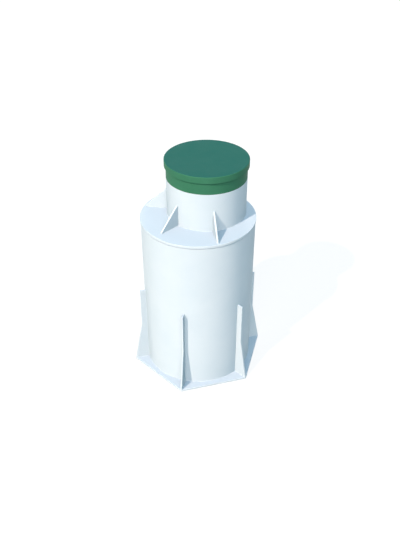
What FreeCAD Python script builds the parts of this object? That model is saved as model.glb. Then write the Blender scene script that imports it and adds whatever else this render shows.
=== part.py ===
import FreeCAD, Part
import math
import os

os.makedirs("parts", exist_ok=True)

Vec = FreeCAD.Vector

# Well caisson welded from polypropylene sheet.
# Millimetres and degrees, +Z up, origin at the centre of the base's underside.
# The neck is off the body's axis, towards +Y, so the YZ plane is the plane of symmetry.

# Round body, rolled in one panel for each side of the hexagon
body_outer_d = 1000.0
body_wall_t = 8.0
body_wall_height = 1496.0
panel_names = ["back_right", "back", "back_left", "front_left", "front", "front_right"]

# Hexagonal base plate: its flats stand out from the body by this margin
base_flat_margin = 47.5
base_t = 20.0

# Sleeve in the floor for the well's casing pipe
sleeve_bore_d = 160.0
sleeve_t = 10.0
sleeve_height = 150.0

# Ribs on the hexagon's corners: a straight strip above, a flared foot below
rib_names = ["right", "back_right", "back_left", "left", "front_left", "front_right"]
rib_t = 15.0
rib_height = 802.0
rib_kink_height = 407.0
rib_strip_width = 52.0
rib_toe_height = 8.0

# Round top plate
top_plate_t = 24.0
top_plate_overhang = 5.0

# Off-centre neck: the margin is the least distance from its wall to the top plate's rim
neck_outer_d = 694.0
neck_wall_t = 8.0
neck_height = 345.0
neck_rim_margin = 54.0

# Collar lapped inside the neck's upper end, which stands up into the lid and keeps it in place
collar_t = 6.0
collar_lap = 60.0

# Triangular gussets between neck and top plate, spread evenly about the front
gusset_names = ["front_left", "front", "front_right"]
gusset_spread_angle = 54.0
gusset_t = 15.0
gusset_height = 193.0
gusset_rim_margin = 19.0
gusset_toe = 8.0

# Lift-off lid: a skirt that stands on the neck's rim, flush with the neck, and carries a wider hollow drum
lid_clearance = 5.0
lid_skirt_height = 105.0
lid_overhang = 14.0
lid_drum_height = 58.0
lid_top_t = 8.0
lid_bottom_t = 8.0
lid_band_t = 6.0
lid_edge_round = 4.0

# Sizes that follow from these
full_turn = 360.0
front_angle = 270.0
side_count = len(panel_names)
side_angle = full_turn / side_count

body_r = body_outer_d / 2
base_apothem = body_r + base_flat_margin
base_corner_r = base_apothem / math.cos(math.radians(side_angle / 2))
sleeve_bore_r = sleeve_bore_d / 2
sleeve_outer_r = sleeve_bore_r + sleeve_t

body_bottom_z = base_t
body_top_z = body_bottom_z + body_wall_height
top_plate_r = body_r + top_plate_overhang
deck_z = body_top_z + top_plate_t

neck_r = neck_outer_d / 2
neck_bore_r = neck_r - neck_wall_t
neck_offset = top_plate_r - neck_r - neck_rim_margin
neck_axis = Vec(0, neck_offset, 0)
neck_top_z = deck_z + neck_height

lid_skirt_bore_r = neck_bore_r + lid_clearance
lid_drum_bottom_z = neck_top_z + lid_skirt_height
lid_r = neck_r + lid_overhang
lid_band_bottom_z = lid_drum_bottom_z + lid_bottom_t
lid_band_height = lid_drum_height - lid_bottom_t - lid_top_t
lid_top_bottom_z = lid_band_bottom_z + lid_band_height


def revolve_profile(edges, start_deg, sweep_deg):
    """Solid turned about Z from closed edges drawn in the XZ plane."""
    face = Part.Face(Part.Wire(edges))
    solid = face.revolve(Vec(0, 0, 0), Vec(0, 0, 1), sweep_deg)
    solid.rotate(Vec(0, 0, 0), Vec(0, 0, 1), start_deg)
    return solid


def polygon_edges(points):
    """Straight edges that close a list of points."""
    return Part.makePolygon(points + points[:1]).Edges


def curved_panel(inner_r, outer_r, bottom_z, height, start_deg, sweep_deg):
    """Upright sheet rolled about Z; a sweep of a full turn makes a ring."""
    top_z = bottom_z + height
    corners = [Vec(inner_r, 0, bottom_z), Vec(outer_r, 0, bottom_z),
               Vec(outer_r, 0, top_z), Vec(inner_r, 0, top_z)]
    return revolve_profile(polygon_edges(corners), start_deg, sweep_deg)


def upright_plate(outline, thickness, angle_deg):
    """Flat sheet standing on a radius: its outline gives (radius, height) points."""
    corners = [Vec(radius, -thickness / 2, height) for radius, height in outline]
    plate = Part.Face(Part.makePolygon(corners + corners[:1])).extrude(Vec(0, thickness, 0))
    plate.rotate(Vec(0, 0, 0), Vec(0, 0, 1), angle_deg)
    return plate


def seat_on_round_wall(plate, wall_r):
    """Cut a plate's inner edge to the curve of the round wall that it is welded to."""
    bounds = plate.BoundBox
    wall = Part.makeCylinder(wall_r, bounds.ZLength, Vec(0, 0, bounds.ZMin))
    return plate.cut(wall).Solids[0]


def make_base_plate():
    corners = []
    for k in range(side_count):
        angle = math.radians(k * side_angle)
        corners.append(Vec(base_corner_r * math.cos(angle), base_corner_r * math.sin(angle), 0))
    plate = Part.Face(Part.makePolygon(corners + corners[:1])).extrude(Vec(0, 0, base_t))
    return plate.cut(Part.makeCylinder(sleeve_outer_r, base_t)).Solids[0]


def make_casing_sleeve():
    return curved_panel(sleeve_bore_r, sleeve_outer_r, 0, base_t + sleeve_height, 0, full_turn)


def make_wall_panel(index):
    return curved_panel(body_r - body_wall_t, body_r, body_bottom_z, body_wall_height,
                        index * side_angle, side_angle)


def make_rib(index):
    # The foot ends where the sheet's two edges meet the hexagon's sides at the corner
    foot_r = base_corner_r - rib_t / 2 / math.tan(math.radians(90 - side_angle / 2))
    strip_r = body_r + rib_strip_width
    root_r = body_r - rib_t
    outline = [(root_r, body_bottom_z),
               (foot_r, body_bottom_z),
               (foot_r, body_bottom_z + rib_toe_height),
               (strip_r, body_bottom_z + rib_kink_height),
               (strip_r, body_bottom_z + rib_height),
               (root_r, body_bottom_z + rib_height)]
    return seat_on_round_wall(upright_plate(outline, rib_t, index * side_angle), body_r)


def make_top_plate():
    plate = Part.makeCylinder(top_plate_r, top_plate_t, Vec(0, 0, body_top_z))
    access_hole = Part.makeCylinder(neck_bore_r, top_plate_t, Vec(0, neck_offset, body_top_z))
    return plate.cut(access_hole).Solids[0]


def make_neck_panel(index):
    panel = curved_panel(neck_bore_r, neck_r, deck_z, neck_height, index * side_angle, side_angle)
    return panel.translated(neck_axis)


def room_beside_neck(angle_deg):
    """Distance from the neck's wall to the top plate's rim, along a radius of the neck."""
    towards_axis = -neck_offset * math.sin(math.radians(angle_deg))
    reach = towards_axis + math.sqrt(towards_axis ** 2 + top_plate_r ** 2 - neck_offset ** 2)
    return reach - neck_r


def make_gusset(index):
    # All gussets are cut alike, to the length that the outermost one has room for
    middle = (len(gusset_names) - 1) / 2
    outermost = front_angle + middle * gusset_spread_angle
    toe_r = neck_r + room_beside_neck(outermost) - gusset_rim_margin
    root_r = neck_r - gusset_t
    outline = [(root_r, deck_z),
               (toe_r, deck_z),
               (toe_r, deck_z + gusset_toe),
               (neck_r + gusset_toe, deck_z + gusset_height),
               (root_r, deck_z + gusset_height)]
    angle = front_angle + (index - middle) * gusset_spread_angle
    gusset = seat_on_round_wall(upright_plate(outline, gusset_t, angle), neck_r)
    return gusset.translated(neck_axis)


def make_neck_collar():
    # The collar stops short of the lid, so that the lid's weight stays on its skirt
    rise = lid_skirt_height - lid_clearance
    collar = curved_panel(neck_bore_r - collar_t, neck_bore_r, neck_top_z - collar_lap,
                          collar_lap + rise, 0, full_turn)
    return collar.translated(neck_axis)


def make_lid_skirt():
    skirt = curved_panel(lid_skirt_bore_r, neck_r, neck_top_z, lid_skirt_height, 0, full_turn)
    return skirt.translated(neck_axis)


def make_lid_bottom_panel():
    return Part.makeCylinder(lid_r, lid_bottom_t, neck_axis + Vec(0, 0, lid_drum_bottom_z))


def make_lid_band():
    band = curved_panel(lid_r - lid_band_t, lid_r, lid_band_bottom_z, lid_band_height, 0, full_turn)
    return band.translated(neck_axis)


def make_lid_top_panel():
    # Half profile of a disc whose upper edge is rounded over
    bottom = lid_top_bottom_z
    top = bottom + lid_top_t
    flat_r = lid_r - lid_edge_round
    side_z = top - lid_edge_round
    diagonal = lid_edge_round * math.sqrt(0.5)
    middle = Vec(flat_r + diagonal, 0, side_z + diagonal)
    edges = [Part.makeLine(Vec(0, 0, bottom), Vec(lid_r, 0, bottom)),
             Part.makeLine(Vec(lid_r, 0, bottom), Vec(lid_r, 0, side_z)),
             Part.Arc(Vec(lid_r, 0, side_z), middle, Vec(flat_r, 0, top)).toShape(),
             Part.makeLine(Vec(flat_r, 0, top), Vec(0, 0, top)),
             Part.makeLine(Vec(0, 0, top), Vec(0, 0, bottom))]
    return revolve_profile(edges, 0, full_turn).translated(neck_axis)


def save(name, solid):
    solid.exportStep("parts/" + name + ".step")


save("base_plate", make_base_plate())
save("casing_sleeve", make_casing_sleeve())
for index, name in enumerate(panel_names):
    save("wall_" + name, make_wall_panel(index))
    save("neck_" + name, make_neck_panel(index))
for index, name in enumerate(rib_names):
    save("rib_" + name, make_rib(index))
save("top_plate", make_top_plate())
for index, name in enumerate(gusset_names):
    save("gusset_" + name, make_gusset(index))
save("neck_collar", make_neck_collar())
save("lid_skirt", make_lid_skirt())
save("lid_bottom_panel", make_lid_bottom_panel())
save("lid_band", make_lid_band())
save("lid_top_panel", make_lid_top_panel())
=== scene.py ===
import math

import bmesh
import bpy
import numpy as np
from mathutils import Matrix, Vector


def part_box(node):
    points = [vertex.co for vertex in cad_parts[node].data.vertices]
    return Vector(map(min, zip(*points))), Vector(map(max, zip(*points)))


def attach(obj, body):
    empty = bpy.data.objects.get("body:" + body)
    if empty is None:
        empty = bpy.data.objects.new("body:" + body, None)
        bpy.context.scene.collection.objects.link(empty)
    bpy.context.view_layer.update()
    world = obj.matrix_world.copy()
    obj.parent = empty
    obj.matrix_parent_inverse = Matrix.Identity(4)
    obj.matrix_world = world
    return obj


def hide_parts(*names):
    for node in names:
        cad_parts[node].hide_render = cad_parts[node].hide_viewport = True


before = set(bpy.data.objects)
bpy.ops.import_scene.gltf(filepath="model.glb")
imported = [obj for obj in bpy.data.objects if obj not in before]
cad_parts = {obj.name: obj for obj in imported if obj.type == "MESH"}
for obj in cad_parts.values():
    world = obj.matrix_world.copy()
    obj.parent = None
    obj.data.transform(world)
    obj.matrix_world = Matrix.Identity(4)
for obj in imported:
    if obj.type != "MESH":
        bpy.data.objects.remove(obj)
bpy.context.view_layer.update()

scene = bpy.context.scene
scene.view_settings.view_transform = "Standard"

mmPerMetre = 1000.0
fullTurn = 2 * math.pi
quarterTurn = math.pi / 2


# Sizes read from the CAD nodes, in metres

def nodePoints(node):
    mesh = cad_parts[node].data
    flat = np.zeros(len(mesh.vertices) * 3)
    mesh.vertices.foreach_get("co", flat)
    return flat.reshape(-1, 3)


def innerRadius(node, centreY):
    points = nodePoints(node) - (0, centreY, 0)
    return np.hypot(points[:, 0], points[:, 1]).min()


panelNames = ["back_right", "back", "back_left", "front_left", "front", "front_right"]
ribNames = ["right", "back_right", "back_left", "left", "front_left", "front_right"]
gussetNames = ["front_left", "front", "front_right"]
sides = len(panelNames)
sideAngle = fullTurn / sides

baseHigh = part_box("base_plate")[1]
baseTop = baseHigh.z
baseApothem = baseHigh.y

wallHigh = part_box("wall_back_right")[1]            # this panel runs from 0 to 60 degrees
bodyR = wallHigh.x
bodyBore = innerRadius("wall_back_right", 0.0)
bodyTop = wallHigh.z

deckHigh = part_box("top_plate")[1]
deckR = deckHigh.x
deckTop = deckHigh.z

neckLow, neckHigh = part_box("neck_back_right")      # from 0 to 60 degrees about the neck's own axis
neckR = neckHigh.x
neckY = neckLow.y
neckBore = innerRadius("neck_back_right", neckY)
neckTop = neckHigh.z

sleeveLow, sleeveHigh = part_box("casing_sleeve")
sleeveR = sleeveHigh.x
sleeveBore = innerRadius("casing_sleeve", 0.0)

collarLow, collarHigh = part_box("neck_collar")
collarR = collarHigh.x
collarBore = innerRadius("neck_collar", neckY)

skirtLow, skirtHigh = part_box("lid_skirt")
skirtR = skirtHigh.x
skirtBore = innerRadius("lid_skirt", neckY)

lidLow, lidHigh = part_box("lid_top_panel")
lidR = (lidHigh.x - lidLow.x) / 2
lidTop = lidHigh.z
lidBottom = skirtHigh.z
print("sizes read: body", round(bodyR * 2, 3), "neck", round(neckR * 2, 3), "lid", round(lidR * 2, 3))


# Colours and material nodes

# sRGB hex colour to linear light, with the standard's straight part near black and its curve above
def linear(hexColour):
    parts = np.array([int(hexColour[i:i + 2], 16) / 255 for i in (1, 3, 5)])
    straight = parts / 12.92
    curve = ((parts + 0.055) / 1.055) ** 2.4
    return (*np.where(parts <= 0.04045, straight, curve), 1.0)


def addNode(tree, kind, inputs=None, **settings):
    node = tree.nodes.new(kind)
    for key, value in settings.items():
        setattr(node, key, value)
    for socket, value in (inputs or {}).items():
        if isinstance(value, bpy.types.NodeSocket):
            tree.links.new(value, node.inputs[socket])
        else:
            node.inputs[socket].default_value = value
    return node


def newMaterial(name):
    material = bpy.data.materials.new(name)
    material.use_nodes = True
    material.node_tree.nodes.clear()
    return material, material.node_tree


# What all the polypropylene shares: its IOR, the detail of each noise,
# and the span of values over which each effect sets in
sheetLook = {
    "ior": 1.49, "cloudDetail": 3.0, "cloudRoughness": 0.55, "cloudSpan": (0.3, 0.7),
    "scuffDetail": 4.0, "scuffRoughness": 0.7, "scuffSpan": (0.62, 0.74),
    "peelDetail": 2.0, "levelSpan": (0.75, 0.98),
}
# The level colour is painted shade: faces that look up are drawn darker and bluer than the sheet, for the
# way the light falls on them
whiteSheetLook = {
    "colour": "#E1EAEC", "cloudColour": "#DBE6E9", "levelShadeColour": "#D3DEE8", "cloudMm": 320,
    "scuffColour": "#CBD7DD", "scuffMm": 9, "scuffStretch": (1.0, 1.0, 0.06), "scuffDepth": 0.12,
    "roughness": (0.42, 0.52), "sheen": 0.2, "peelMm": 5, "peelStrength": 0.12, "peelDepthMm": 0.25,
}
greenSheetLook = {
    "colour": "#3A7657", "cloudColour": "#417D5E", "levelShadeColour": "#226359", "cloudMm": 180,
    "scuffColour": "#6FA08C", "scuffMm": 7, "scuffStretch": (0.12, 1.0, 1.0), "scuffDepth": 0.14,
    "roughness": (0.45, 0.56), "sheen": 0.1, "peelMm": 4, "peelStrength": 0.15, "peelDepthMm": 0.25,
}
# Welds are the same plastic laid down hot: smoother, a little glossier and cloudy over a shorter way
whiteWeldLook = dict(whiteSheetLook, cloudMm=60, roughness=(0.4, 0.5), peelStrength=0.05)
greenWeldLook = dict(greenSheetLook, cloudMm=50, roughness=(0.42, 0.5), peelStrength=0.05)


# Polypropylene sheet, extruded between polished rolls: a waxy satin skin, a faint cloudy tone,
# a peel texture, long hairline scuffs from handling, and painted shade on level faces: they are drawn
# darker and bluer.
# Peel and scuffs are drawn coarser than the real ones, so that they show
def sheetMaterial(name, look):
    material, tree = newMaterial(name)
    cloudLow, cloudHigh = sheetLook["cloudSpan"]
    scuffLow, scuffHigh = sheetLook["scuffSpan"]
    levelLow, levelHigh = sheetLook["levelSpan"]
    smooth, dull = look["roughness"]

    place = addNode(tree, "ShaderNodeTexCoord").outputs["Object"]
    cloud = addNode(tree, "ShaderNodeTexNoise", {
        "Vector": place, "Scale": mmPerMetre / look["cloudMm"], "Detail": sheetLook["cloudDetail"],
        "Roughness": sheetLook["cloudRoughness"]})
    tone = addNode(tree, "ShaderNodeMapRange", {
        "Value": cloud.outputs["Fac"], "From Min": cloudLow, "From Max": cloudHigh})
    colour = addNode(tree, "ShaderNodeMix", {
        0: tone.outputs["Result"], 6: linear(look["colour"]),
        7: linear(look["cloudColour"])}, data_type="RGBA")

    stretch = addNode(tree, "ShaderNodeMapping", {"Vector": place, "Scale": look["scuffStretch"]})
    scuff = addNode(tree, "ShaderNodeTexNoise", {
        "Vector": stretch.outputs["Vector"], "Scale": mmPerMetre / look["scuffMm"],
        "Detail": sheetLook["scuffDetail"], "Roughness": sheetLook["scuffRoughness"]})
    hairline = addNode(tree, "ShaderNodeMapRange", {
        "Value": scuff.outputs["Fac"], "From Min": scuffLow, "From Max": scuffHigh,
        "To Max": look["scuffDepth"]})

    normal = addNode(tree, "ShaderNodeNewGeometry").outputs["Normal"]
    upward = addNode(tree, "ShaderNodeSeparateXYZ", {"Vector": normal}).outputs["Z"]
    # Painted shade: faces that look up take the level colour, darker and bluer than the sheet
    level = addNode(tree, "ShaderNodeMapRange", {
        "Value": upward, "From Min": levelLow, "From Max": levelHigh})
    levelShaded = addNode(tree, "ShaderNodeMix", {
        0: level.outputs["Result"], 6: colour.outputs[2],
        7: linear(look["levelShadeColour"])}, data_type="RGBA")
    worn = addNode(tree, "ShaderNodeMix", {
        0: hairline.outputs["Result"], 6: levelShaded.outputs[2],
        7: linear(look["scuffColour"])}, data_type="RGBA")

    gloss = addNode(tree, "ShaderNodeMapRange", {
        "Value": cloud.outputs["Fac"], "From Min": cloudLow, "From Max": cloudHigh,
        "To Min": smooth, "To Max": dull})
    rough = addNode(tree, "ShaderNodeMath", {
        0: gloss.outputs["Result"], 1: hairline.outputs["Result"]}, operation="ADD", use_clamp=True)
    peel = addNode(tree, "ShaderNodeTexNoise", {
        "Vector": place, "Scale": mmPerMetre / look["peelMm"], "Detail": sheetLook["peelDetail"]})
    bump = addNode(tree, "ShaderNodeBump", {
        "Height": peel.outputs["Fac"], "Strength": look["peelStrength"],
        "Distance": look["peelDepthMm"] / mmPerMetre})
    shader = addNode(tree, "ShaderNodeBsdfPrincipled", {
        "Base Color": worn.outputs[2], "IOR": sheetLook["ior"], "Specular IOR Level": look["sheen"],
        "Roughness": rough.outputs["Value"], "Normal": bump.outputs["Normal"]})
    addNode(tree, "ShaderNodeOutputMaterial", {"Surface": shader.outputs["BSDF"]})
    return material


whiteSheet = sheetMaterial("whitePolypropyleneSheet", whiteSheetLook)
greenSheet = sheetMaterial("greenPolypropyleneSheet", greenSheetLook)
whiteWeld = sheetMaterial("whitePolypropyleneWeld", whiteWeldLook)
greenWeld = sheetMaterial("greenPolypropyleneWeld", greenWeldLook)
print("materials made")


# Surfaces as grids of points

# Holding points stand holdShare eases from a corner; angles alike to angleDigits places are merged
meshLook = {"sharpDegrees": 32.0, "arcSteps": 5, "holdShare": 2.2, "angleDigits": 6}
arcSteps = meshLook["arcSteps"]
holdShare = meshLook["holdShare"]


# Four-sided faces between neighbouring points of a grid whose points are counted from `first`
def gridFaces(rows, columns, wrapRows, wrapColumns, first):
    i, j = np.meshgrid(np.arange(rows if wrapRows else rows - 1),
                       np.arange(columns if wrapColumns else columns - 1), indexing="ij")
    row, nextRow = i * columns, (i + 1) % rows * columns
    nextJ = (j + 1) % columns
    quads = np.stack([row + j, nextRow + j, nextRow + nextJ, row + nextJ], -1)
    return (quads.reshape(-1, 4) + first).tolist()


# Each surface is (grid, wrapRows, wrapColumns): a wrapped way joins its last points to its first,
# and an open way is closed by a flat face at each end
def makePiece(name, surfaces, material, body, nodes=()):
    points, faces, first = [], [], 0
    for grid, wrapRows, wrapColumns in surfaces:
        rows, columns = grid.shape[:2]
        index = np.arange(rows * columns).reshape(rows, columns) + first
        faces += gridFaces(rows, columns, wrapRows, wrapColumns, first)
        if not wrapRows:
            faces += [index[0].tolist(), index[-1].tolist()]
        if not wrapColumns:
            faces += [index[:, 0].tolist(), index[:, -1].tolist()]
        points.append(grid.reshape(-1, 3))
        first += rows * columns
    mesh = bpy.data.meshes.new(name)
    mesh.from_pydata(np.concatenate(points).tolist(), [], faces)
    solid = bmesh.new()
    solid.from_mesh(mesh)
    bmesh.ops.recalc_face_normals(solid, faces=solid.faces)
    solid.to_mesh(mesh)
    solid.free()
    mesh.polygons.foreach_set("use_smooth", np.ones(len(mesh.polygons), bool))
    mesh.set_sharp_from_angle(angle=math.radians(meshLook["sharpDegrees"]))
    mesh.materials.append(material)
    piece = bpy.data.objects.new(name, mesh)
    scene.collection.objects.link(piece)
    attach(piece, body)
    if nodes:
        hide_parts(*nodes)


# Closed outline with eased corners: each corner becomes a bend between points `ease` away on its edges,
# with a holding point further along each edge to keep the flats flat
def easedLoop(corners, ease):
    corners = np.asarray(corners, float)
    toLast = np.roll(corners, 1, 0) - corners
    toNext = np.roll(corners, -1, 0) - corners
    toLast *= ease / np.linalg.norm(toLast, axis=1, keepdims=True)
    toNext *= ease / np.linalg.norm(toNext, axis=1, keepdims=True)
    t = np.linspace(0, 1, arcSteps)[None, :, None]
    start = (corners + toLast)[:, None]
    end = (corners + toNext)[:, None]
    bend = (1 - t) ** 2 * start + 2 * t * (1 - t) * corners[:, None] + t ** 2 * end
    hold = [(corners + way * holdShare)[:, None] for way in (toLast, toNext)]
    return np.concatenate([hold[0], bend, hold[1]], 1).reshape(-1, 2)


def circle(count):
    return np.linspace(0, fullTurn, count, endpoint=False)


# Even angles round a circle, with closer ones at the given offsets from each corner of the hexagon
def closerAngles(count, offsets):
    extra = (np.arange(sides)[:, None] * sideAngle + offsets).ravel() % fullTurn
    return np.unique(np.round(np.concatenate([circle(count), extra]), meshLook["angleDigits"]))


# Radii and heights turned about an upright axis at y = centreY:
# x and y are the radius times the angle's cosine and sine
def turned(radius, height, angles, centreY):
    radius = radius + np.zeros((len(angles), 1))
    x = radius * np.cos(angles)[:, None]
    y = radius * np.sin(angles)[:, None] + centreY
    return np.stack([x, y, np.broadcast_to(height, radius.shape)], -1)


# Round walls: a tube whose radius has a long, slight rolling wave and a low ridge at each panel seam

# Each wave is (turns round the wall, climb, start, share); lengths are in metres
wallLook = {
    "ease": 0.0012, "jointHeight": 0.007, "jointDepth": 0.004, "rowHeight": 0.06, "angleCount": 288,
    "waveDepth": 0.00025, "waves": [(5, 2.1, 0.7, 1.0), (11, -3.7, 1.9, 0.6)],
    "seamWidth": 0.007, "seamHeight": 0.00035, "seamFall": 1.6, "seamReach": 1.6, "seamPoints": 17,
}


# Shift = crossed sine waves round and up the wall, plus a bell-shaped ridge on each seam
def rolledShift(angles, heights, radius):
    a = angles[:, None]
    wave = sum(share * np.sin(turns * a + climb * heights + start)
               for turns, climb, start, share in wallLook["waves"])
    away = (a + sideAngle / 2) % sideAngle - sideAngle / 2
    ridge = np.exp(-(away * radius / wallLook["seamWidth"] * wallLook["seamFall"]) ** 2)
    return wave * wallLook["waveDepth"] + ridge * wallLook["seamHeight"]


# Section of the wall, with rows up both faces, turned about its axis and shifted along the radius
def roundWall(name, bore, outer, bottom, top, centreY, jointHeight, nodes):
    shoulder = top - jointHeight
    upper = [(outer, shoulder)]
    if jointHeight:
        stepR = outer - wallLook["jointDepth"]
        upper += [(stepR, shoulder), (stepR, top)]
    corners = [(outer, bottom), *upper, (bore, top), (bore, bottom)]
    loop = easedLoop(corners, wallLook["ease"])
    count = int((top - bottom) / wallLook["rowHeight"])
    rise = np.linspace(bottom, shoulder, count + 2)[1:-1]
    bend = len(loop) // len(corners)
    outside = np.stack([np.full(count, outer), rise], 1)
    inside = np.stack([np.full(count, bore), rise[::-1]], 1)
    radius, height = np.concatenate([loop[:bend], outside, loop[bend:-bend], inside, loop[-bend:]]).T
    reach = wallLook["seamReach"] * wallLook["seamWidth"] / outer
    angles = closerAngles(wallLook["angleCount"], np.linspace(-reach, reach, wallLook["seamPoints"]))
    grid = turned(radius + rolledShift(angles, height, outer), height, angles, centreY)
    makePiece(name, [(grid, True, True)], whiteSheet, "caisson", nodes)


# The body's upper edge is stepped in, for the open joint that shows as a dark line under the top plate
roundWall("bodyWall", bodyBore, bodyR, baseTop, bodyTop, 0.0, wallLook["jointHeight"],
          ["wall_" + name for name in panelNames])
roundWall("neckWall", neckBore, neckR, deckTop, neckTop, neckY, 0.0,
          ["neck_" + name for name in panelNames])
print("round walls made")


# Flat plates with a hole: along each ray from the hole's axis, points run from the hole to the rim,
# round the rim's eased edge and back underneath

plateLook = {"ease": 0.0018, "cornerEase": 0.003, "rings": 6, "hexCount": 240, "deckCount": 360,
             "cornerReach": 0.012, "cornerPoints": 9}


def holedPlate(name, holeR, rimR, angles, centreY, bottom, top, nodes):
    ease = plateLook["ease"]
    t = np.linspace(0, quarterTurn, arcSteps)
    share = np.linspace(0, 1, plateLook["rings"])      # of the way from the hole to the rim
    inset = np.zeros_like(share)                       # back from the rim
    inset[-1] = ease * holdShare
    share = np.concatenate([share, np.ones(arcSteps)])
    inset = np.concatenate([inset, ease * (1 - np.sin(t))])
    drop = np.concatenate([np.zeros(plateLook["rings"]), ease * (1 - np.cos(t))])
    share = np.concatenate([share, share[::-1]])
    inset = np.concatenate([inset, inset[::-1]])
    height = np.concatenate([top - drop, bottom + drop[::-1]])
    radius = holeR + (rimR[:, None] - holeR) * share - inset
    makePiece(name, [(turned(radius, height, angles, centreY), True, True)], whiteSheet, "caisson", nodes)


# Hexagon: the rim's distance is the apothem over the cosine of the angle from the nearest flat's middle,
# held back a little at the corners
cornerReach = plateLook["cornerReach"]
cornerOffsets = np.linspace(-cornerReach, cornerReach, plateLook["cornerPoints"])
hexAngles = closerAngles(plateLook["hexCount"], cornerOffsets)
fromFlat = hexAngles % sideAngle - sideAngle / 2
cornerR = baseApothem / math.cos(sideAngle / 2)
hexRim = np.minimum(baseApothem / np.cos(fromFlat), cornerR - plateLook["cornerEase"])
holedPlate("basePlate", sleeveR, hexRim, hexAngles, 0.0, 0.0, baseTop, ["base_plate"])

# Round top plate, seen from the neck's axis: the ray's length to a circle about the body's axis
deckAngles = circle(plateLook["deckCount"])
towards = -neckY * np.sin(deckAngles)
deckRim = towards + np.sqrt(towards ** 2 + deckR ** 2 - neckY ** 2)
holedPlate("topPlate", neckBore, deckRim, deckAngles, neckY, bodyTop, deckTop, ["top_plate"])
print("base plate and top plate made")


# Rings: a short pipe's section, with eased edges, turned about an upright axis

ringLook = {"sleeveEase": 0.003, "collarEase": 0.001, "skirtEase": 0.0012, "angleCount": 256}


def makeRing(name, bore, outer, bottom, top, centreY, ease, material, body, node):
    radius, height = easedLoop([(outer, bottom), (outer, top), (bore, top), (bore, bottom)], ease).T
    grid = turned(radius, height, circle(ringLook["angleCount"]), centreY)
    makePiece(name, [(grid, True, True)], material, body, [node])


makeRing("casingSleeve", sleeveBore, sleeveR, sleeveLow.z, sleeveHigh.z, 0.0,
         ringLook["sleeveEase"], whiteSheet, "caisson", "casing_sleeve")
makeRing("neckCollar", collarBore, collarR, collarLow.z, collarHigh.z, neckY,
         ringLook["collarEase"], whiteSheet, "caisson", "neck_collar")
makeRing("lidSkirt", skirtBore, skirtR, skirtLow.z, skirtHigh.z, neckY,
         ringLook["skirtEase"], greenSheet, "lid", "lid_skirt")
print("casing sleeve, neck collar and lid skirt made")


# Upright plates: the outline is carried through the sheet's thickness,
# drawn in by a quarter round at each face

uprightLook = {"ease": 0.0015, "sink": 0.001}      # sink: how far the inner edge goes into the round wall
near = 1e-4                                        # points closer than this count as level with each other


# A plate's CAD points as distances out, across and up, with the turn that points out along the plate
def platePoints(node, centreY):
    points = nodePoints(node) - (0, centreY, 0)
    reach = np.hypot(points[:, 0], points[:, 1])
    tip = points[reach > reach.max() - near].mean(0)
    turn = math.atan2(tip[1], tip[0])
    out = points[:, 0] * math.cos(turn) + points[:, 1] * math.sin(turn)
    across = points[:, 1] * math.cos(turn) - points[:, 0] * math.sin(turn)
    return out, across, points[:, 2], turn


# Corners of the outline as (distance out, height): root, foot, toe, kink and top,
# the kink only where there is one
def plateOutline(out, height):
    foot, root = out.max(), out.min() - uprightLook["sink"]
    top, bottom = height.max(), height.min()
    strip = out[height > top - near].max()
    toe = height[out > foot - near].max()
    kink = height[np.abs(out - strip) < near].min()
    corners = [(root, bottom), (foot, bottom), (foot, toe)]
    if top - kink > near:
        corners.append((strip, kink))
    return np.array([*corners, (strip, top), (root, top)])


# Outline drawn in: each corner moves along the bisector of its two edges
def insetOutline(corners, depth):
    edge = np.roll(corners, -1, 0) - corners
    normal = np.stack([-edge[:, 1], edge[:, 0]], 1) / np.linalg.norm(edge, axis=1, keepdims=True)
    last = np.roll(normal, 1, 0)
    return corners + depth * (last + normal) / (1 + (last * normal).sum(1, keepdims=True))


# Points given as distances out, across and up are turned to the plate's place
def placeOut(out, across, up, turn, centreY):
    x = out * math.cos(turn) - across * math.sin(turn)
    y = out * math.sin(turn) + across * math.cos(turn) + centreY
    return np.stack([x, y, up + 0 * out], -1)


def uprightPlate(name, node, centreY):
    out, across, height, turn = platePoints(node, centreY)
    corners = plateOutline(out, height)
    half = np.ptp(across) / 2
    ease = uprightLook["ease"]
    t = np.linspace(0, quarterTurn, arcSteps)
    insets = np.concatenate([[ease * holdShare], ease * (1 - np.sin(t))])
    depths = np.concatenate([[half], half - ease * (1 - np.cos(t))])
    insets = np.concatenate([insets, insets[::-1]])
    depths = np.concatenate([depths, -depths[::-1]])
    rings = np.stack([insetOutline(corners, inset) for inset in insets])
    grid = placeOut(rings[..., 0], depths[:, None], rings[..., 1], turn, centreY)
    makePiece(name, [(grid, False, True)], whiteSheet, "caisson", [node])


for name in ribNames:
    uprightPlate("rib." + name, "rib_" + name, 0.0)
for name in gussetNames:
    uprightPlate("gusset." + name, "gusset_" + name, neckY)
print("ribs and gussets made")


# Lid drum: a half profile from the top's middle, over the rim and back underneath,
# turned about the neck's axis

# The holds are shares of each ease, at which points keep the flats flat
lidLook = {"topEase": 0.005, "bottomEase": 0.0015, "centreR": 0.02, "middleShare": 0.5, "topHold": 2.0,
           "bottomHold": 3.0, "arcSteps": 7, "angleCount": 256}


def lidDrumProfile():
    t = np.linspace(0, quarterTurn, lidLook["arcSteps"])
    upper, lower = lidLook["topEase"], lidLook["bottomEase"]
    topHold, bottomHold = upper * lidLook["topHold"], lower * lidLook["bottomHold"]
    centreR, middleR = lidLook["centreR"], lidR * lidLook["middleShare"]
    rimTop = np.stack([lidR - upper + upper * np.sin(t), lidTop - upper + upper * np.cos(t)], 1)
    rimBottom = np.stack([lidR - lower + lower * np.cos(t), lidBottom + lower - lower * np.sin(t)], 1)
    flat = [(centreR, lidTop), (middleR, lidTop), (lidR - topHold, lidTop)]
    side = [(lidR, lidTop - topHold), (lidR, lidBottom + bottomHold)]
    under = [(lidR - bottomHold, lidBottom), (middleR, lidBottom), (centreR, lidBottom)]
    return np.concatenate([flat, rimTop, side, rimBottom, under]).T


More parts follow.
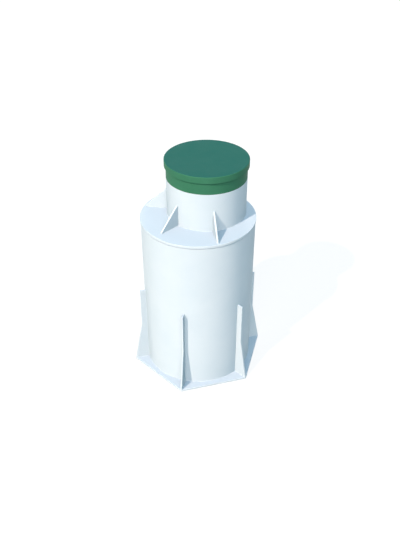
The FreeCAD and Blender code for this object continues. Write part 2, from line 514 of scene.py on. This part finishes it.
drumGrid = turned(*lidDrumProfile(), circle(lidLook["angleCount"]), neckY)
drumNodes = ["lid_top_panel", "lid_band", "lid_bottom_panel"]
makePiece("lidDrum", [(drumGrid, True, False)], greenSheet, "lid", drumNodes)
print("lid drum made")


# Weld beads: a rounded corner fillet carried along each joint, with the ripple of the welding shoe

# Each wave in the bead's size is (length in mm, start for each mm of leg, share)
beadLook = {
    "stepMm": 2.0, "rippleMm": 7.0, "ripple": 0.035, "wander": 0.03, "arcSteps": 7, "sinkMm": 1.0,
    "waves": [(31.0, 1.0, 1.0), (13.7, 2.0, 0.7), (71.0, 0.0, 0.5)],
    "taperMm": 9.0, "leastTaper": 0.1, "bulge": 0.8,
    "legMm": {"base": 3.0, "neck": 3.0, "rib": 2.5, "gusset": 2.5,
              "sleeve": 4.0, "collar": 2.5, "lid": 1.5},
}
beadStep = beadLook["stepMm"] / mmPerMetre
leg = beadLook["legMm"]


# Section = leg times (cos t, sin t) to a power under one, so that it bulges,
# with one point inside the corner
def beadSurface(path, first, second, legMm, closed):
    step = np.linalg.norm(np.diff(path, axis=0), axis=1)
    run = np.concatenate([[0], np.cumsum(step)]) * mmPerMetre
    wander = sum(share * np.sin(run / length + start * legMm) for length, start, share in beadLook["waves"])
    ripple = np.sin(fullTurn * run / beadLook["rippleMm"])
    size = 1 + beadLook["ripple"] * ripple + beadLook["wander"] * wander
    if not closed:
        toEnd = np.minimum(run, run[-1] - run) / beadLook["taperMm"]
        size = size * np.sqrt(np.clip(toEnd, beadLook["leastTaper"], 1))
    t = np.linspace(0, quarterTurn, beadLook["arcSteps"])
    reach = size[:, None] * legMm / mmPerMetre
    sink = np.full((len(path), 1), -beadLook["sinkMm"] / mmPerMetre)
    along = np.concatenate([reach * np.cos(t) ** beadLook["bulge"], sink], 1)
    above = np.concatenate([reach * np.sin(t) ** beadLook["bulge"], sink], 1)
    grid = path[:, None] + along[..., None] * first[:, None] + above[..., None] * second[:, None]
    return grid, closed, True


# Bead round a circle: one leg lies outwards, the other up or down
def ringBead(radius, height, centreY, legMm, upwards):
    angles = circle(int(fullTurn * radius / beadStep))
    ray = np.stack([np.cos(angles), np.sin(angles), 0 * angles], 1)
    path = ray * radius + (0, centreY, height)
    return beadSurface(path, ray, np.broadcast_to((0.0, 0.0, upwards), ray.shape), legMm, True)


# Beads along both faces of an upright plate: up the round wall and out along the plate it stands on
def plateBeads(node, centreY, wallR, legMm):
    out, across, height, turn = platePoints(node, centreY)
    half = np.ptp(across) / 2
    seat = math.sqrt(wallR ** 2 - half ** 2)
    bottom, top, foot = height.min(), height.max(), out.max()
    rise = np.arange(bottom, top, beadStep)
    span = np.arange(seat, foot - legMm / mmPerMetre, beadStep)
    outward = placeOut(1.0, 0.0, 0.0, turn, 0.0)
    upward = (0.0, 0.0, 1.0)
    beads = []
    for side in (-1, 1):
        sideways = placeOut(0.0, side, 0.0, turn, 0.0)
        upPath = placeOut(np.full_like(rise, seat), side * half, rise, turn, centreY)
        outPath = placeOut(span, side * half, bottom, turn, centreY)
        for path, way in ((upPath, outward), (outPath, upward)):
            ways = [np.broadcast_to(w, path.shape) for w in (sideways, way)]
            beads.append(beadSurface(path, *ways, legMm, False))
    return beads


welds = {
    "weldBase": [ringBead(bodyR, baseTop, 0.0, leg["base"], 1.0)],
    "weldNeck": [ringBead(neckR, deckTop, neckY, leg["neck"], 1.0)],
    "weldCollar": [ringBead(collarR, neckTop, neckY, leg["collar"], 1.0)],
    "weldSleeve": [ringBead(sleeveR, baseTop, 0.0, leg["sleeve"], 1.0)],
    "weldRibs": [bead for name in ribNames
                 for bead in plateBeads("rib_" + name, 0.0, bodyR, leg["rib"])],
    "weldGussets": [bead for name in gussetNames
                    for bead in plateBeads("gusset_" + name, neckY, neckR, leg["gusset"])],
}
for name, beads in welds.items():
    makePiece(name, beads, whiteWeld, "caisson")
makePiece("weldLid", [ringBead(skirtR, lidBottom, neckY, leg["lid"], -1.0)], greenWeld, "lid")
print("weld beads made")


# Floor, sky, lamps and camera

stageLook = {
    "floorHalf": 40.0, "floorColour": "#CFCFCF",
    "shownColour": "#FFFFFF", "shownGlow": 0.86, "shownShade": 0.18,
    "nearHorizon": "#C8C5C8", "farHorizon": "#A4868A", "zenith": "#4BA6BF", "zenithRise": 0.8,
    "nearHeading": -135.0, "skyStrength": 1.0,
}
# Key and fill give direct light only, so that no face throws their light on its neighbours
keyLook = {"energy": 2.89, "colour": "#FFEADC", "sizeDegrees": 1.2, "heading": 1.0, "height": 44.0,
           "glints": True, "bounces": 0}
fillLook = {"energy": 1.66, "colour": "#FFF8FB", "sizeDegrees": 40.0, "heading": 45.0, "height": 36.0,
            "glints": False, "bounces": 0}
backLook = {"energy": 1.9, "colour": "#FCEEE8", "sizeDegrees": 12.0, "heading": 222.0, "height": 5.0,
            "glints": False, "bounces": 4}
cameraLook = {"place": (3.4327, -3.4559, 4.4296), "tilt": 54.73, "heading": 44.613, "lens": 58.53,
              "sensor": 36.0, "farClip": 200.0}


# 1 for rays from the camera, also by way of a gloss or through glass, and 0 for rays that carry light
def seenDirectly(tree):
    ray = addNode(tree, "ShaderNodeLightPath").outputs
    bright = addNode(tree, "ShaderNodeMath", {
        0: ray["Is Camera Ray"], 1: ray["Is Glossy Ray"]}, operation="MAXIMUM")
    return addNode(tree, "ShaderNodeMath", {
        0: bright.outputs["Value"], 1: ray["Is Transmission Ray"]}, operation="MAXIMUM").outputs["Value"]


# Floor: a plain grey card for the light that bounces, seen as white with a faint shadow
def makeFloor():
    material, tree = newMaterial("whiteStudioFloor")
    grey = stageLook["shownShade"]
    bounce = addNode(tree, "ShaderNodeBsdfDiffuse", {"Color": linear(stageLook["floorColour"])})
    shade = addNode(tree, "ShaderNodeBsdfDiffuse", {"Color": (grey, grey, grey, 1.0)})
    glow = addNode(tree, "ShaderNodeEmission", {
        "Color": linear(stageLook["shownColour"]), "Strength": stageLook["shownGlow"]})
    shown = addNode(tree, "ShaderNodeAddShader", {0: glow.outputs[0], 1: shade.outputs[0]})
    both = addNode(tree, "ShaderNodeMixShader", {
        0: seenDirectly(tree), 1: bounce.outputs[0], 2: shown.outputs[0]})
    addNode(tree, "ShaderNodeOutputMaterial", {"Surface": both.outputs[0]})
    half = stageLook["floorHalf"]
    corners = [(-half, -half, 0), (half, -half, 0), (half, half, 0), (-half, half, 0)]
    mesh = bpy.data.meshes.new("floor")
    mesh.from_pydata(corners, [], [(0, 1, 2, 3)])
    mesh.materials.append(material)
    floor = bpy.data.objects.new("floor", mesh)
    scene.collection.objects.link(floor)


# Sky: grey at the horizon, palest at nearHeading degrees from +X, and blue overhead; seen as plain white
def makeSky():
    world = bpy.data.worlds.new("studioSky")
    world.use_nodes = True
    tree = world.node_tree
    tree.nodes.clear()
    way = addNode(tree, "ShaderNodeTexCoord").outputs["Generated"]
    rise = addNode(tree, "ShaderNodeSeparateXYZ", {"Vector": way}).outputs["Z"]
    blend = addNode(tree, "ShaderNodeMapRange", {"Value": rise, "From Max": stageLook["zenithRise"]})
    heading = math.radians(stageLook["nearHeading"])
    facing = addNode(tree, "ShaderNodeVectorMath", {
        0: way, 1: (math.cos(heading), math.sin(heading), 0.0)}, operation="DOT_PRODUCT")
    nearness = addNode(tree, "ShaderNodeMapRange", {"Value": facing.outputs["Value"], "From Min": -1.0})
    horizon = addNode(tree, "ShaderNodeMix", {
        0: nearness.outputs["Result"], 6: linear(stageLook["farHorizon"]),
        7: linear(stageLook["nearHorizon"])}, data_type="RGBA")
    colour = addNode(tree, "ShaderNodeMix", {
        0: blend.outputs["Result"], 6: horizon.outputs[2],
        7: linear(stageLook["zenith"])}, data_type="RGBA")
    fill = addNode(tree, "ShaderNodeBackground", {
        "Color": colour.outputs[2], "Strength": stageLook["skyStrength"]})
    white = addNode(tree, "ShaderNodeBackground", {
        "Color": linear(stageLook["shownColour"]), "Strength": 1.0})
    both = addNode(tree, "ShaderNodeMixShader", {
        0: seenDirectly(tree), 1: fill.outputs[0], 2: white.outputs[0]})
    addNode(tree, "ShaderNodeOutputWorld", {"Surface": both.outputs[0]})
    scene.world = world


# A far lamp: its height above the horizon and its heading, anticlockwise from the front, are in degrees
def makeLamp(name, look):
    light = bpy.data.lights.new(name, "SUN")
    light.energy = look["energy"]
    light.color = linear(look["colour"])[:3]
    light.angle = math.radians(look["sizeDegrees"])
    light.cycles.max_bounces = look["bounces"]
    lamp = bpy.data.objects.new(name, light)
    lamp.rotation_euler = (math.radians(90 - look["height"]), 0, math.radians(look["heading"]))
    lamp.visible_glossy = look["glints"]
    scene.collection.objects.link(lamp)


def makeCamera():
    data = bpy.data.cameras.new("photoCamera")
    data.sensor_fit = "HORIZONTAL"
    data.sensor_width = cameraLook["sensor"]
    data.lens = cameraLook["lens"]
    data.clip_end = cameraLook["farClip"]
    camera = bpy.data.objects.new("photoCamera", data)
    camera.location = cameraLook["place"]
    camera.rotation_euler = (math.radians(cameraLook["tilt"]), 0, math.radians(cameraLook["heading"]))
    scene.collection.objects.link(camera)
    scene.camera = camera


makeFloor()
makeSky()
makeLamp("keyLight", keyLook)
makeLamp("fillLight", fillLook)
makeLamp("backLight", backLook)
makeCamera()
print("floor, sky, lamps and camera made")
